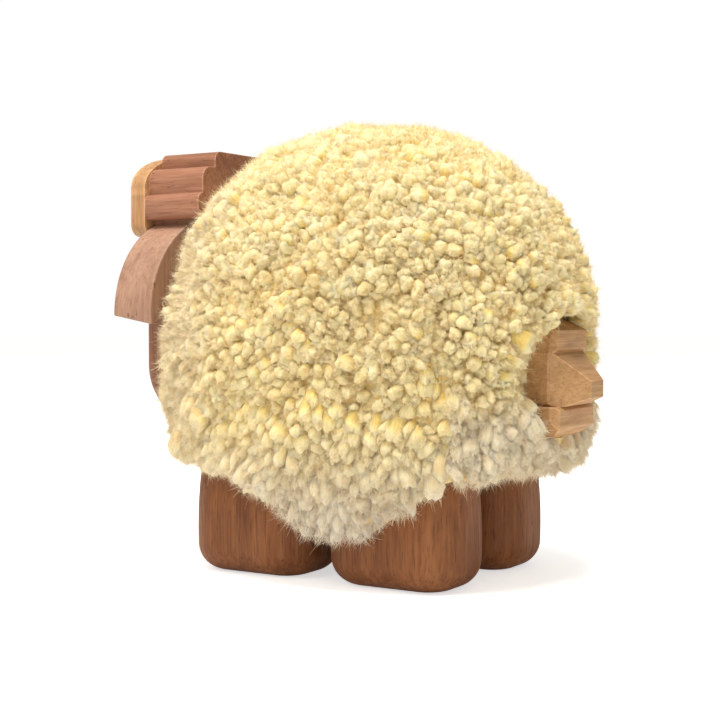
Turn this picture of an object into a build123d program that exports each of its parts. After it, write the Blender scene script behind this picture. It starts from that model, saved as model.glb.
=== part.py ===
from build123d import *
import os
from math import copysign, cos, pi, radians, sin

# A carved wooden sheep in a sheepskin coat. It stands on four soles at Z 0, looks towards -X
# and has its left flank at -Y. The origin lies under the middle of its length and width.

# Fits and clearances
wool_gap = 0.3
hide_gap = 0.3
dowel_play = 0.05
cut_overrun = 2.0

# Body core: the wooden block that everything is fixed to
core_length = 148.0
core_width = 96.0
core_height = 112.0
core_corner_rounding = 28.0
core_top_rounding = 24.0
core_bottom_rounding = 2.5

# Legs: stout blocks, a little barrel-shaped, with soft soles. They fill the core's underside up to the gaps
leg_height = 56.0
leg_gap_x = 8.0
leg_gap_y = 14.0
leg_end_inset = 6.5
leg_side_overhang = 5.5
leg_corner_rounding = 18.5
leg_belly_z = 22.0
leg_top_inset = 3.0
leg_sole_inset = 1.0
leg_sole_rounding = 12.0
leg_shift_x = -4.0

# Dowels that pin the legs, head, ears, hair and tail
leg_dowel_diameter = 8.0
leg_dowel_length = 36.0
leg_dowel_spacing = 26.0
neck_dowel_diameter = 8.0
neck_dowel_length = 36.0
neck_dowel_spacing = 34.0
hair_dowel_diameter = 6.0
hair_dowel_length = 22.0
hair_dowel_spacing = 28.0
ear_dowel_diameter = 6.0
ear_dowel_length = 18.0
tail_dowel_diameter = 10.0
tail_dowel_length = 34.0

# Head: the face block, glued to the front of the core. It stops short of the core's top and underside
head_depth = 41.3
head_width = 56.0
head_rise = 9.0
head_drop = 8.0
chin_rounding = 26.0
cheek_rounding = 7.0
brow_drop = 7.5
brow_recess = 7.5

# Eyes: dark pegs let into the face
eye_diameter = 7.0
eye_length = 9.0
eye_proud = 1.2
eye_spacing = 27.0
eye_drop = 30.0

# Hair: a stepped cloud of three carved rolls that run from front to back
hair_depth = 32.0
hair_roll_widths = (70.0, 63.0, 44.0)
hair_roll_heights = (12.0, 12.5, 7.5)
hair_roll_roundings = (3.5, 6.0, 4.0)
hair_roll_overlap = 5.0

# Forelock: the pale slab in front of the hair and the brow
forelock_thickness = 8.5
forelock_crown_height = 17.0
forelock_bottom_rounding = 6.0

# Ears: drooping blocks with one curved side. The drop is from the head's top to the ear's
ear_thickness = 22.0
ear_drop = 2.0
ear_root_height = 24.0
ear_height = 47.0
ear_reach = 29.3
ear_tip_width = 13.0
ear_bottom_slope = 10.0
ear_bulge_share_y = 0.77
ear_bulge_share_z = 0.6
ear_edge_rounding = 0.8

# Tail: three carved rolls from the lowest to the highest. The ends slope off above, below and at the sides
tail_rise = 8.5
tail_roll_heights = (13.0, 22.0, 16.5)
tail_roll_widths = (40.0, 35.0, 34.0)
tail_roll_lengths = (23.5, 32.5, 21.0)
tail_low_roundings = (9.0, 2.5, 0.0)
tail_high_roundings = (0.0, 2.5, 12.0)
tail_end_widths = (36.0, 13.0, 31.0)
tail_end_runs = (4.0, 15.0, 3.0)
tail_top_drops = (1.5, 11.5, 7.0)
tail_top_runs = (2.0, 13.0, 14.0)
tail_low_lifts = (4.0, 3.5, 1.5)
tail_low_runs = (5.0, 9.0, 2.0)
tail_edge_rounding = 0.7

# Sheepskin: a hide backing in three panels and the wool that grows on it
hide_thickness = 2.0
hide_hem_rise = 2.0
chest_seam_inset = 9.0
neck_opening_margin = 0.5
tail_opening_margin = 0.5
tail_parting_width = 52.0
tail_parting_slope_share = 1.6
tail_parting_height_share = 0.5

# Wool form: how far the wool's tips stand off the core, and how the outline is rounded
wool_reach_ends = 26.0
wool_reach_flanks = 26.5
wool_reach_top = 30.5
wool_hang = 43.0
wool_middle_share = 0.353
wool_length_power = 2.17
wool_top_power = 2.4
wool_bottom_power = 4.7
wool_station_shares = (-0.985, -0.93, -0.8, -0.55, -0.25, 0.0, 0.25, 0.55, 0.8, 0.93, 0.985)
wool_point_count = 20
leg_room = 1.0

# Hem of the wool: it sags in the middle of the flanks and rises towards the chest and the rump
wool_hem_z = 21.0
wool_hem_middle_shift = 17.0
wool_hem_length = 24.0
wool_hem_slope_length = 34.0
wool_hem_slope_rise = 23.0
wool_hem_end_rise = 27.0
wool_hem_rounding = 14.0

# Tacks that hold the hide's hem to the core
tack_head_diameter = 6.0
tack_head_thickness = 1.0
tack_shank_diameter = 1.8
tack_shank_length = 10.0
tack_rise = 3.0
flank_tack_count = 5
flank_tack_spacing = 20.0
end_tack_spacing = 28.0

# Places that follow from the sizes above. The length from forelock to tail is centred on X 0
tail_length = max(tail_roll_lengths)
face_length = head_depth - brow_recess + forelock_thickness
core_centre_x = (face_length - tail_length) / 2
core_front_x = core_centre_x - core_length / 2
core_back_x = core_centre_x + core_length / 2
head_front_x = core_front_x - head_depth
head_top_z = leg_height + core_height - head_drop
head_bottom_z = leg_height + head_rise
head_height = head_top_z - head_bottom_z
brow_z = head_top_z - brow_drop
brow_x = head_front_x + brow_recess
forelock_front_x = brow_x - forelock_thickness
hair_back_x = brow_x + hair_depth
leg_length = (core_length - leg_gap_x) / 2 - leg_end_inset
leg_width = (core_width - leg_gap_y) / 2 + leg_side_overhang
leg_spacing_x = leg_length + leg_gap_x
leg_spacing_y = leg_width + leg_gap_y
leg_centre_x = core_centre_x + leg_shift_x
ear_front_x = brow_x
ear_back_x = ear_front_x + ear_thickness
ear_top_z = head_top_z - ear_drop
ear_bottom_z = ear_top_z - ear_height
neck_dowel_z = (head_bottom_z + brow_z) / 2
ear_dowel_x = ear_front_x + ear_thickness / 2
ear_dowel_z = ear_top_z - ear_root_height / 2
tail_bottom_z = leg_height + tail_rise
tail_top_z = tail_bottom_z + sum(tail_roll_heights)
tail_middle_z = (tail_bottom_z + tail_top_z) / 2
hide_hem_z = leg_height + hide_hem_rise
tack_z = hide_hem_z + tack_rise
chest_seam_x = core_front_x + chest_seam_inset
rump_seam_x = leg_centre_x + (leg_spacing_x + leg_length) / 2 + leg_room
wool_half_length = core_length / 2 + wool_reach_ends
wool_half_width = core_width / 2 + wool_reach_flanks
wool_back_x = core_centre_x + wool_half_length
wool_middle_z = leg_height + wool_middle_share * core_height
wool_top_z = leg_height + core_height + wool_reach_top
wool_top_height = wool_top_z - wool_middle_z
wool_bottom_height = wool_middle_z - leg_height + wool_hang
sides = {"left": -1, "right": 1}
ends = {"front": -1, "rear": 1}

os.makedirs("parts", exist_ok=True)


def save(piece, name):
    """Labels one finished piece and writes its file."""
    piece.part.label = name
    export_step(piece.part, f"parts/{name}.step")


def leg_centre(end, side):
    """The middle of a leg's footprint."""
    return leg_centre_x + ends[end] * leg_spacing_x / 2, sides[side] * leg_spacing_y / 2


# Seats: planes on the wooden pieces where dowels and tacks go in
leg_dowel_seats = [
    Plane(origin=(*leg_centre(end, side), leg_height)).move(Location((step * leg_dowel_spacing / 2, 0, 0)))
    for end in ends
    for side in sides
    for step in (-1, 1)
]
neck_dowel_seats = [
    Plane(origin=(core_front_x, 0, neck_dowel_z + step * neck_dowel_spacing / 2), z_dir=(1, 0, 0))
    for step in (-1, 1)
]
hair_dowel_seats = [
    Plane(origin=(brow_x + hair_depth / 2, step * hair_dowel_spacing / 2, head_top_z)) for step in (-1, 1)
]
ear_dowel_seats = {
    side: Plane(origin=(ear_dowel_x, way * head_width / 2, ear_dowel_z), z_dir=(0, way, 0))
    for side, way in sides.items()
}
tail_dowel_seat = Plane(origin=(core_back_x, 0, tail_middle_z), z_dir=(1, 0, 0))
eye_seats = {
    side: Plane(origin=(head_front_x, way * eye_spacing / 2, head_top_z - eye_drop), z_dir=(-1, 0, 0))
    for side, way in sides.items()
}
flank_tack_steps = [i - (flank_tack_count - 1) / 2 for i in range(flank_tack_count)]
flank_tack_seats = [
    Plane(
        origin=(core_centre_x + step * flank_tack_spacing, way * core_width / 2, tack_z),
        z_dir=(0, way, 0),
    )
    for way in sides.values()
    for step in flank_tack_steps
]
end_tack_seats = [
    Plane(
        origin=(core_centre_x + way * core_length / 2, step * end_tack_spacing / 2, tack_z),
        z_dir=(way, 0, 0),
    )
    for way in ends.values()
    for step in (-1, 1)
]
tack_seats = flank_tack_seats + end_tack_seats


def dowel(seats, diameter, length):
    """Dowels half in each of the two pieces that meet at their seats."""
    with BuildPart() as pins:
        with Locations(*seats):
            Cylinder(diameter / 2, length)
    return pins


def drill(seats, diameter, length):
    """Cuts the holes for such dowels out of the piece being built."""
    with Locations(*seats):
        Cylinder(diameter / 2 + dowel_play, length + 2 * dowel_play, mode=Mode.SUBTRACT)


def block(low, high, mode):
    """A box between two corners."""
    middle = tuple((a + b) / 2 for a, b in zip(low, high))
    size = [b - a for a, b in zip(low, high)]
    with Locations(middle):
        Box(*size, mode=mode)


def rounded_core(grow):
    """The core's shape, grown by an even amount on every side but its underside."""
    with BuildPart() as body:
        with BuildSketch(Plane.XY.offset(leg_height)):
            with Locations((core_centre_x, 0)):
                RectangleRounded(core_length + 2 * grow, core_width + 2 * grow, core_corner_rounding + grow)
        extrude(amount=core_height + grow)
        fillet(body.faces().sort_by(Axis.Z)[-1].edges(), core_top_rounding + grow)
    return body


# Body core
with BuildPart() as body_core:
    add(rounded_core(0).part)
    fillet(body_core.faces().sort_by(Axis.Z)[0].edges(), core_bottom_rounding)
    drill(leg_dowel_seats, leg_dowel_diameter, leg_dowel_length)
    drill(neck_dowel_seats, neck_dowel_diameter, neck_dowel_length)
    drill([tail_dowel_seat], tail_dowel_diameter, tail_dowel_length)
    tack_depth = tack_shank_length - hide_gap - hide_thickness
    drill(tack_seats, tack_shank_diameter, 2 * tack_depth)
save(body_core, "body_core")

# Legs
for end in ends:
    for side in sides:
        centre_x, centre_y = leg_centre(end, side)
        with BuildPart() as leg:
            for height, inset in ((0, leg_sole_inset), (leg_belly_z, 0), (leg_height, leg_top_inset)):
                length = leg_length - 2 * inset
                width = leg_width - 2 * inset
                with BuildSketch(Plane.XY.offset(height)):
                    with Locations((centre_x, centre_y)):
                        RectangleRounded(length, width, leg_corner_rounding - inset)
            loft()
            fillet(leg.faces().sort_by(Axis.Z)[0].edges(), leg_sole_rounding)
            drill(leg_dowel_seats, leg_dowel_diameter, leg_dowel_length)
        save(leg, f"{end}_{side}_leg")

# Head
with BuildPart() as head:
    with BuildSketch(Plane.XZ):
        with Locations((head_front_x + head_depth / 2, head_bottom_z + head_height / 2)):
            chin = Rectangle(head_depth, head_height).vertices().group_by(Axis.Y)[0].sort_by(Axis.X)[0]
        fillet(chin, chin_rounding)
    extrude(amount=head_width / 2, both=True)
    cheeks = head.faces().filter_by(Axis.Y).edges()
    below_the_top = cheeks.filter_by(lambda edge: edge.center().Z < head_top_z)
    front_and_chin = below_the_top.filter_by(lambda edge: edge.center().X < core_front_x)
    fillet(front_and_chin, cheek_rounding)
    brow_cut = (head_front_x, -head_width / 2, brow_z), (brow_x, head_width / 2, head_top_z)
    block(*brow_cut, Mode.SUBTRACT)
    drill(neck_dowel_seats, neck_dowel_diameter, neck_dowel_length)
    drill(hair_dowel_seats, hair_dowel_diameter, hair_dowel_length)
    drill(ear_dowel_seats.values(), ear_dowel_diameter, ear_dowel_length)
    drill(eye_seats.values(), eye_diameter, 2 * (eye_length - eye_proud))
save(head, "head")

# Eyes, with a softly domed end that stands proud of the face
for side, seat in eye_seats.items():
    with BuildPart() as eye:
        with Locations(seat.offset(eye_proud)):
            Cylinder(eye_diameter / 2, eye_length, align=(Align.CENTER, Align.CENTER, Align.MAX))
        fillet(eye.edges().sort_by(Axis.X)[0], eye_proud)
    save(eye, f"{side}_eye")

# Hair cap: the rolls are stacked, each narrower than the one below
with BuildPart() as hair_cap:
    with BuildSketch(Plane.YZ.offset(brow_x)):
        roll_bottom_z = head_top_z
        for width, height, rounding in zip(hair_roll_widths, hair_roll_heights, hair_roll_roundings):
            sunk = 0 if roll_bottom_z == head_top_z else hair_roll_overlap
            with Locations((0, roll_bottom_z + (height - sunk) / 2)):
                RectangleRounded(width, height + sunk, rounding)
            roll_bottom_z += height
    extrude(amount=hair_depth)
    drill(hair_dowel_seats, hair_dowel_diameter, hair_dowel_length)
save(hair_cap, "hair_cap")

# Forelock
hair_top_z = head_top_z + sum(hair_roll_heights)
crown_z = hair_top_z - forelock_crown_height
with BuildPart() as forelock:
    with BuildSketch(Plane.YZ.offset(forelock_front_x)):
        with Locations((0, crown_z)):
            Ellipse(hair_roll_widths[0] / 2, forelock_crown_height)
        slab_height = crown_z - brow_z + forelock_bottom_rounding
        with Locations((0, brow_z + slab_height / 2)):
            RectangleRounded(hair_roll_widths[0], slab_height, forelock_bottom_rounding)
    extrude(amount=forelock_thickness)
save(forelock, "forelock")

# Ears: one curved outer side, a straight inner side and a sloping cut end
for side, way in sides.items():
    root_y = head_width / 2
    with BuildPart() as ear:
        with BuildSketch(Plane.YZ.offset(ear_front_x)):
            with BuildLine():
                bulge_y = root_y + ear_bulge_share_y * ear_reach
                bulge_z = ear_bottom_z + ear_bulge_share_z * ear_height
                ThreePointArc(
                    (way * root_y, ear_top_z),
                    (way * bulge_y, bulge_z),
                    (way * (root_y + ear_reach), ear_bottom_z),
                )
                Polyline(
                    (way * (root_y + ear_reach), ear_bottom_z),
                    (way * (root_y + ear_reach - ear_tip_width), ear_bottom_z),
                    (way * root_y, ear_top_z - ear_root_height),
                    (way * root_y, ear_top_z),
                )
            make_face()
        extrude(amount=ear_thickness)
        slope = radians(ear_bottom_slope)
        end_cut = Plane(origin=(ear_back_x, 0, ear_bottom_z), z_dir=(sin(slope), 0, cos(slope)))
        split(bisect_by=end_cut, keep=Keep.TOP)
        outer_edges = ear.edges().filter_by(lambda edge: abs(edge.center().Y) > root_y + ear_edge_rounding)
        fillet(outer_edges, ear_edge_rounding)
        drill([ear_dowel_seats[side]], ear_dowel_diameter, ear_dowel_length)
    save(ear, f"{side}_ear")


# Tail: each roll is cut to its outline from behind, from above and from the side
def tail_roll(bottom_z, height, width, length, low_rounding, high_rounding, end_width, end_run, *slopes):
    """One roll of the tail, from the core's back."""
    top_drop, top_run, low_lift, low_run = slopes
    end_x = core_back_x + length
    top_z = bottom_z + height
    with BuildPart() as roll:
        with BuildSketch(Plane.YZ.offset(core_back_x)):
            with Locations((0, bottom_z + height / 2)):
                corners = Rectangle(width, height).vertices().group_by(Axis.Y)
            if low_rounding:
                fillet(corners[0], low_rounding)
            if high_rounding:
                fillet(corners[-1], high_rounding)
        extrude(amount=length)
        with BuildSketch(Plane.XY.offset(bottom_z)):
            with BuildLine():
                Polyline(
                    (core_back_x, -width / 2),
                    (end_x - end_run, -width / 2),
                    (end_x, -end_width / 2),
                    (end_x, end_width / 2),
                    (end_x - end_run, width / 2),
                    (core_back_x, width / 2),
                    close=True,
                )
            make_face()
        extrude(amount=height, mode=Mode.INTERSECT)
        with BuildSketch(Plane.XZ):
            with BuildLine():
                Polyline(
                    (core_back_x, bottom_z),
                    (end_x - low_run, bottom_z),
                    (end_x, bottom_z + low_lift),
                    (end_x, top_z - top_drop),
                    (end_x - top_run, top_z),
                    (core_back_x, top_z),
                    close=True,
                )
            make_face()
        extrude(amount=width, both=True, mode=Mode.INTERSECT)
        end_edges = roll.faces().sort_by(Axis.X)[-1].edges()
        fillet(end_edges, tail_edge_rounding)
    return roll


with BuildPart() as tail:
    roll_bottom_z = tail_bottom_z
    for sizes in zip(
        tail_roll_heights,
        tail_roll_widths,
        tail_roll_lengths,
        tail_low_roundings,
        tail_high_roundings,
        tail_end_widths,
        tail_end_runs,
        tail_top_drops,
        tail_top_runs,
        tail_low_lifts,
        tail_low_runs,
    ):
        add(tail_roll(roll_bottom_z, *sizes).part)
        roll_bottom_z += sizes[0]
    drill([tail_dowel_seat], tail_dowel_diameter, tail_dowel_length)
save(tail, "tail")

# Dowels
save(dowel(leg_dowel_seats, leg_dowel_diameter, leg_dowel_length), "leg_dowels")
save(dowel(neck_dowel_seats, neck_dowel_diameter, neck_dowel_length), "neck_dowels")
save(dowel(hair_dowel_seats, hair_dowel_diameter, hair_dowel_length), "hair_dowels")
save(dowel(ear_dowel_seats.values(), ear_dowel_diameter, ear_dowel_length), "ear_dowels")
save(dowel([tail_dowel_seat], tail_dowel_diameter, tail_dowel_length), "tail_dowel")

# Tacks: the heads sit on the hide, the shanks go through it into the core
tack_head_seats = [seat.offset(hide_gap + hide_thickness) for seat in tack_seats]
with BuildPart() as hem_tacks:
    with Locations(*tack_head_seats):
        Cylinder(tack_head_diameter / 2, tack_head_thickness, align=(Align.CENTER, Align.CENTER, Align.MIN))
        Cylinder(tack_shank_diameter / 2, tack_shank_length, align=(Align.CENTER, Align.CENTER, Align.MAX))
save(hem_tacks, "hem_tacks")


# The whole of the wool's outer shape, before it is cut into panels
def wool_section(share):
    """Points round the wool at a share of its half length."""
    shrink = (1 - abs(share) ** wool_length_power) ** (1 / wool_length_power)
    points = []
    for i in range(wool_point_count):
        angle = 2 * pi * i / wool_point_count
        above = sin(angle) >= 0
        power = wool_top_power if above else wool_bottom_power
        height = wool_top_height if above else wool_bottom_height
        across = copysign(abs(cos(angle)) ** (2 / power), cos(angle))
        up = copysign(abs(sin(angle)) ** (2 / power), sin(angle))
        points.append((shrink * wool_half_width * across, wool_middle_z + shrink * height * up))
    return points


with BuildPart() as wool_form:
    for share in wool_station_shares:
        with BuildSketch(Plane.YZ.offset(core_centre_x + share * wool_half_length)):
            with BuildLine():
                Spline(*wool_section(share), periodic=True)
            make_face()
    loft()

# The room under the hem of the wool, seen from the side
hem_middle_x = core_centre_x + wool_hem_middle_shift
hem_half_length = wool_hem_length / 2
with BuildPart() as under_hem:
    with BuildSketch(Plane.XZ):
        with BuildLine():
            Polyline(
                (core_centre_x - wool_half_length, 0),
                (core_centre_x - wool_half_length, wool_hem_z + wool_hem_end_rise),
                (hem_middle_x - hem_half_length - wool_hem_slope_length, wool_hem_z + wool_hem_slope_rise),
                (hem_middle_x - hem_half_length, wool_hem_z),
                (hem_middle_x + hem_half_length, wool_hem_z),
                (hem_middle_x + hem_half_length + wool_hem_slope_length, wool_hem_z + wool_hem_slope_rise),
                (core_centre_x + wool_half_length, wool_hem_z + wool_hem_end_rise),
                (core_centre_x + wool_half_length, 0),
                close=True,
            )
        outline = make_face()
        bends = outline.vertices().filter_by(lambda vertex: abs(vertex.X - core_centre_x) < wool_half_length)
        fillet(bends, wool_hem_rounding)
    extrude(amount=wool_half_width + cut_overrun, both=True)

hide_inside = rounded_core(hide_gap)
hide_outside = rounded_core(hide_gap + hide_thickness)
wool_inside = rounded_core(hide_gap + hide_thickness + wool_gap)

# Boxes that the coat is kept to or kept clear of: low and high corners
leg_half_span_x = rump_seam_x - leg_centre_x
leg_half_span_y = (leg_spacing_y + leg_width) / 2 + leg_room
leg_box = (
    (leg_centre_x - leg_half_span_x, -leg_half_span_y, 0),
    (leg_centre_x + leg_half_span_x, leg_half_span_y, hide_hem_z),
)


def head_box(margin):
    """The face block with a margin all round."""
    half = head_width / 2 + margin
    return (head_front_x, -half, head_bottom_z - margin), (chest_seam_x - wool_gap, half, head_top_z + margin)


def tail_opening(margin):
    """Cuts an opening round the tail."""
    half_width = max(tail_roll_widths) / 2 + margin
    low = (core_back_x - hide_gap, -half_width, tail_bottom_z - margin)
    high = (wool_back_x, half_width, tail_top_z + margin)
    block(low, high, Mode.SUBTRACT)


def tail_parting():
    """The room where the wool parts on both sides of the tail, wider the further it is from the hide."""
    with BuildPart() as room:
        for away in (0, wool_back_x - core_back_x):
            half_width = tail_parting_width / 2 + away * tail_parting_slope_share
            with BuildSketch(tail_dowel_seat.offset(away)):
                Ellipse(half_width * tail_parting_height_share, half_width)
        loft()
    return room


hair_half_width = max(hair_roll_widths) / 2 + wool_gap
hair_box = (
    (forelock_front_x, -hair_half_width, head_top_z - wool_gap),
    (hair_back_x + wool_gap, hair_half_width, wool_top_z),
)
ear_box = (
    (forelock_front_x, -wool_half_width, ear_bottom_z - wool_gap),
    (ear_back_x + wool_gap, wool_half_width, ear_top_z + wool_gap),
)
panels = {
    "chest": (forelock_front_x, chest_seam_x - wool_gap / 2),
    "saddle": (chest_seam_x + wool_gap / 2, rump_seam_x - wool_gap / 2),
    "rump": (rump_seam_x + wool_gap / 2, wool_back_x),
}

for panel, (low_x, high_x) in panels.items():
    # The hide of one panel, open at its hem, the neck and the tail
    with BuildPart() as hide:
        add(hide_outside.part)
        add(hide_inside.part, mode=Mode.SUBTRACT)
        block((low_x, -wool_half_width, hide_hem_z), (high_x, wool_half_width, wool_top_z), Mode.INTERSECT)
        if panel == "chest":
            block(*head_box(neck_opening_margin), Mode.SUBTRACT)
        if panel == "rump":
            tail_opening(tail_opening_margin)
        drill(tack_seats, tack_shank_diameter, tack_shank_length)
    save(hide, f"{panel}_hide")

    # The wool of the same panel
    with BuildPart() as wool:
        add(wool_form.part)
        panel_half_width = wool_half_width + cut_overrun
        panel_top_z = wool_top_z + cut_overrun
        block((low_x, -panel_half_width, 0), (high_x, panel_half_width, panel_top_z), Mode.INTERSECT)
        add(wool_inside.part, mode=Mode.SUBTRACT)
        block(*leg_box, Mode.SUBTRACT)
        add(under_hem.part, mode=Mode.SUBTRACT)
        if panel == "chest":
            block(*head_box(wool_gap), Mode.SUBTRACT)
            block(*hair_box, Mode.SUBTRACT)
            block(*ear_box, Mode.SUBTRACT)
        if panel == "rump":
            tail_opening(wool_gap)
            add(tail_parting().part, mode=Mode.SUBTRACT)
        with Locations(*tack_head_seats):
            Cylinder(
                tack_head_diameter / 2 + wool_gap,
                tack_head_thickness + wool_gap,
                align=(Align.CENTER, Align.CENTER, Align.MIN),
                mode=Mode.SUBTRACT,
            )
    save(wool, f"{panel}_fleece")
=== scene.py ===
import math

import bmesh
import bpy
import numpy as np
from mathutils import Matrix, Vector
from mathutils.kdtree import KDTree


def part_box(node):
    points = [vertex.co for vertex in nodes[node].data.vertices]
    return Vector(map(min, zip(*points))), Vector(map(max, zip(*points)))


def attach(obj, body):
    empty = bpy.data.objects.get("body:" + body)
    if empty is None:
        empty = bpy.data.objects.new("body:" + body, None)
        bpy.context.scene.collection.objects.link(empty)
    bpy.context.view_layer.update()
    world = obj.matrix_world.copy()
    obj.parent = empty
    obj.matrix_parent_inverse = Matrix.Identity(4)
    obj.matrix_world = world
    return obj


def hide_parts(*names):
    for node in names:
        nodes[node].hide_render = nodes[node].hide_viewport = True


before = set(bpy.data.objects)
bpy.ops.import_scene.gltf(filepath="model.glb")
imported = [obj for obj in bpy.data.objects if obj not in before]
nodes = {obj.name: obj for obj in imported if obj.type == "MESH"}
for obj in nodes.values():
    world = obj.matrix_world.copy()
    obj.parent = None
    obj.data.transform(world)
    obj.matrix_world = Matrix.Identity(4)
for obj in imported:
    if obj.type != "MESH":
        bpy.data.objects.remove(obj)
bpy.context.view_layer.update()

# Lengths are in millimetres until a mesh is made. The sheep looks towards -X, its left flank is at -Y.
MM = 0.001
rng = np.random.default_rng(5362)
scene = bpy.context.scene


def node_box(name):
    """A CAD node's low and high corners in millimetres."""
    return [np.array(corner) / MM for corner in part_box(name)]


# Camera, fitted to the photograph's soles: it looks at a place a little in front of the core's middle
camera_azimuth, camera_elevation, camera_distance = 31.4, 2.0, 650.0
camera_lens, camera_sensor = 70.65, 36.0
look_forward, look_z = 9.75, 94.5

# Studio, in metres
light_aim_height, floor_radius = 0.1, 6.0
surround_colour, surround_strength, paper_strength = (1.0, 0.965, 0.89, 1.0), 0.46, 1.02

# Wool form, as in the CAD: |x|^length_power + section^length_power = 1 is its outer side
core_low, core_high = node_box("body_core")
core_height = core_high[2] - core_low[2]
wool_reach_ends, wool_reach_flanks, wool_reach_top, wool_hang = 26.0, 26.5, 30.5, 43.0
wool_middle_share = 0.353
centre_x = (core_low[0] + core_high[0]) / 2
half_x = (core_high[0] - core_low[0]) / 2 + wool_reach_ends
half_y = core_high[1] + wool_reach_flanks
middle_z = core_low[2] + wool_middle_share * core_height
top_height = core_high[2] + wool_reach_top - middle_z
low_height = middle_z - core_low[2] + wool_hang
length_power, top_power, low_power = 2.17, 2.4, 4.7
saddle_low, saddle_high = node_box("saddle_fleece")
half_seam = 0.15
chest_seam_x, rump_seam_x = saddle_low[0] - half_seam, saddle_high[0] + half_seam

# Hem of the wool, seen from the side
hem_z, hem_slope_rise, hem_end_rise = 21.0, 23.0, 27.0
hem_middle_x, hem_half_length, hem_slope_length = centre_x + 17.0, 12.0, 34.0
hem_reaches = (hem_half_length, hem_half_length + hem_slope_length)
hem_xs = (
    centre_x - half_x,
    hem_middle_x - hem_reaches[1],
    hem_middle_x - hem_reaches[0],
    hem_middle_x + hem_reaches[0],
    hem_middle_x + hem_reaches[1],
    centre_x + half_x,
)
hem_rises = (hem_end_rise, hem_slope_rise, 0.0, 0.0, hem_slope_rise, hem_end_rise)
hem_zs = tuple(hem_z + rise for rise in hem_rises)

# The wool parts at the tail: an elliptic cone, half as high as wide
tail_low, tail_high = node_box("tail")
tail_root_x, tail_z = core_high[0], (tail_low[2] + tail_high[2]) / 2
parting_half_width, parting_slope = 26.0, 1.6

# Blocks that the wool keeps clear of: low and high corners
keep_gap = 0.2
leg_gaps_low, leg_gaps_high = (1, 1, 5), (1, 1, 2)
legs = [node_box(name) for name in nodes if name.endswith("_leg")]
legs_low, legs_high = np.min([low for low, _ in legs], axis=0), np.max([high for _, high in legs], axis=0)
keep_out = {"legs": (legs_low - leg_gaps_low, legs_high + leg_gaps_high)}
for name in ("head", "hair_cap", "left_ear", "right_ear"):
    low, high = node_box(name)
    keep_out[name] = (low - keep_gap, high + keep_gap)
# The tail's rolls from the bottom up: height, half width and length
tail_rolls = {"low": (13.0, 20.0, 23.5), "middle": (22.0, 17.5, 32.5), "high": (16.5, 17.0, 21.0)}
roll_z = tail_low[2]
for name, (height, half_width, length) in tail_rolls.items():
    low = np.array((tail_root_x - 1.0, -half_width - keep_gap, roll_z))
    keep_out[f"tail_{name}"] = (low, np.array((tail_root_x + length, half_width + keep_gap, roll_z + height)))
    roll_z += height

# Locks: their sizes, and how much the short fillers between them and the locks on the crown differ
lock_spacing = 5.1
lock_radius = 3.35
lock_length_least, lock_length_most = 9.0, 12.0
low_lock_extra = 4.0
radius_spread, filler_radius_share, crown_radius_extra = 0.17, 0.85, 0.18
filler_share = 0.64
form_tries, hem_tries = 110000, 26000
# The saddle's locks are split here into a high and a low group
saddle_split_z = 120

# Height of the locks over the wool's form: even part, swells, and what the crease, chest and fillers change
lift_even, lift_swell, lift_wavelength = 0.8, 1.4, 24.0
crease_depth, chest_rise, filler_drop = 2.0, 3.0, 1.3
uneven_height, crown_evenness = 0.7, 0.35

# Lean of the locks away from the form's normal
hang_lean, tousle_lean, stray_lean, tousle_wavelength = 1.5, 0.30, 0.14, 22.0

# Zones of the wool: x or z where each starts and where it is full
hanging_zs, long_zs, crown_zs = (122.0, 27.0), (118.0, 58.0), (125.0, 155.0)
chest_xs, chest_low_zs, chest_high_zs = (-45.0, -65.0), (58.0, 78.0), (135.0, 115.0)
pale_hem_zs, rump_painted_shade_zs, pale_chest_xs = (68.0, 28.0), (84.0, 68.0), (-30.0, -60.0)
crease_width, crease_most_z = 3.0, 95
chin_x, chin_z, leg_top_z = -55, 75, 58

# Fibres: least and most length and width, and how much longer they are at the hem
lying_length, lying_width, lying_hem_extra = (1.2, 3.4), (0.1, 0.3), 0.6
frizz_length, frizz_width, frizz_hem_extra = (1.5, 3.8), (0.07, 0.17), 0.45
fibres_per_piece = 39000
# Only the part of a lock past this share of its length carries fibres
open_share = 0.68

# Dense wool under the locks: depth, unevenness, room over the hem, and the norm past which it is drawn in
under_wool_depth, under_wool_unevenness, under_wool_above_hem, under_wool_norm = 3.4, 0.6, 4.0, 0.93

# Places of the locks: margins to the blocks, the parting and the hem
form_spread_z = 92.0
parting_rises, parting_fullness, parting_least, parting_lean = (-18.0, 8.0), (2.0, 6.0), 3.0, (0.85, 0.3)
back_margin, back_gap = 1.5, 1.2
push_margin, push_most = 1.6, 9.0
form_above_hem, hem_above, hem_edge_norm, hem_lean = 3.0, 3.5, 0.985, 0.35

# Hide: the middle that its unevenness points away from
hide_middle_z, hide_unevenness = 110.0, 0.1


# Camera, lights and floor


def look_from(azimuth, elevation):
    """Unit vector from the object to a viewer at these angles in degrees."""
    a, e = math.radians(azimuth), math.radians(elevation)
    return Vector((math.sin(a) * math.cos(e), -math.cos(a) * math.cos(e), math.sin(e)))


def make_camera():
    """The photograph's camera."""
    data = bpy.data.cameras.new("camera")
    data.lens = camera_lens
    data.sensor_width = camera_sensor
    data.clip_start = 0.01
    camera = bpy.data.objects.new("camera", data)
    scene.collection.objects.link(camera)
    back = look_from(camera_azimuth, camera_elevation)
    camera.location = (Vector((centre_x - look_forward, 0.0, look_z)) + back * camera_distance) * MM
    camera.rotation_mode = "QUATERNION"
    camera.rotation_quaternion = (-back).to_track_quat("-Z", "Y")
    scene.camera = camera


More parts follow.
